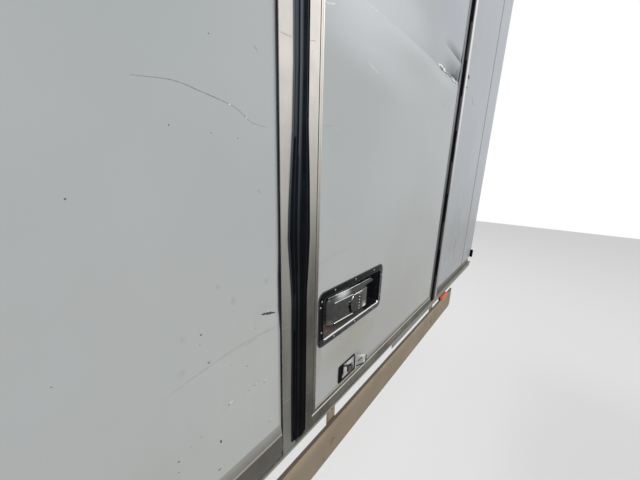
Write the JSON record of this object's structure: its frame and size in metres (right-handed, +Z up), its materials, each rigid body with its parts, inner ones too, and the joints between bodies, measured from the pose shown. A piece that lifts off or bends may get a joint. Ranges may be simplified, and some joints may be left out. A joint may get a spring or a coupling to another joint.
{
  "type": "insulated truck body side wall section with hinged door",
  "caption": "Insulated truck body side wall section with a hinged side door, recessed paddle lock, rubber seals, rubbing rails and side guard.",
  "frame": {"origin": "middle of the bolt row in the floor rail's inboard flange, on the flange's underside", "axes": "+X runs forward along the wall, +Y from the outer skin into the load space, +Z up"},
  "size_m": [2.46, 0.1664, 2.399],
  "materials": {
    "panel_skin": "white glass-fibre skin, satin gloss",
    "anodised_aluminium": "weathered anodised extrusion",
    "hinge_aluminium": "dark anodised extrusion",
    "plain_aluminium": "brushed sheet",
    "stainless": "polished stainless pressing",
    "dark_steel": "dark oiled steel",
    "black_rubber": "black rubber",
    "black_plastic": "black moulding",
    "green_plastic": "moulded knob",
    "grey_joint": "grey jointing strip",
    "beige_paint": "beige paint, worn",
    "orange_lens": "orange lens"
  },
  "bodies": {
    "wall": {"floor_rail": "anodised_aluminium", "rear_wall_panel": "panel_skin", "front_wall_panel": "panel_skin", "lintel_panel": "panel_skin", "front_corner_panel": "panel_skin", "corner_joint_strip": "grey_joint", "top_rail": "anodised_aluminium", "rear_kick_rail": "anodised_aluminium", "lamp_rail": "anodised_aluminium", "latch_post": "anodised_aluminium", "hinge_post": "anodised_aluminium", "header_rail": "anodised_aluminium", "joint_seal": "black_rubber", "rear_end_channel": "anodised_aluminium", "front_edge_rubber": "black_rubber", "front_stop": "black_rubber", "threshold_plate": "stainless", "hinge_leaf_fixed": "hinge_aluminium", "hinge_pin": "stainless", "hinge_cover_fixed": "black_rubber", "latch_keeper": "stainless", "inner_plates": "plain_aluminium", "cargo_rails": "anodised_aluminium", "guard_beam": "beige_paint", "guard_hangers": "beige_paint", "lamp_base": "black_plastic", "lamp_lens": "orange_lens"},
    "door": {"leaf_panel": "panel_skin", "latch_stile": "anodised_aluminium", "hinge_stile": "anodised_aluminium", "bottom_rail": "anodised_aluminium", "top_stile": "anodised_aluminium", "latch_gasket": "black_rubber", "head_gasket": "black_rubber", "threshold_gasket": "black_rubber", "hinge_leaf_door": "hinge_aluminium", "hinge_cover_door": "black_rubber", "lock_pan": "stainless", "lock_cover": "stainless", "catch_pan": "black_plastic", "catch_core": "dark_steel", "release_rose": "stainless", "leaf_inner_plate": "plain_aluminium"},
    "paddle": {"paddle": "stainless"},
    "latch_bolt": {"latch_bolt": "stainless"},
    "catch_flap": {"catch_flap": "stainless"},
    "release_knob": {"release_knob": "green_plastic"}
  },
  "joints": [
    {"name": "door_hinge", "type": "hinge", "parent": "wall", "child": "door", "pos_m": [0.286, -0.105, 0.94], "axis": [0, 0, 1], "range_deg": [0, 120]},
    {"name": "paddle_hinge", "type": "hinge", "parent": "door", "child": "paddle", "pos_m": [-0.502, -0.093, 0.2975], "axis": [0, 0, -1], "range_deg": [0, 40], "stiffness_Nm_per_rad": 1.5},
    {"name": "bolt_slide", "type": "slide", "parent": "door", "child": "latch_bolt", "axis": [1, 0, 0], "range_m": [0, 0.016]},
    {"name": "catch_flap_hinge", "type": "hinge", "parent": "door", "child": "catch_flap", "pos_m": [-0.4925, -0.112, 0.091], "axis": [0, 0, 1], "range_deg": [-135, 0]},
    {"name": "release_push", "type": "slide", "parent": "door", "child": "release_knob", "axis": [0, -1, 0], "range_m": [0, 0.014], "stiffness_N_per_m": 300}
  ],
  "couplings": [
    {"joint": "bolt_slide", "follows": "paddle_hinge", "m_per_rad": 0.0229}
  ]
}
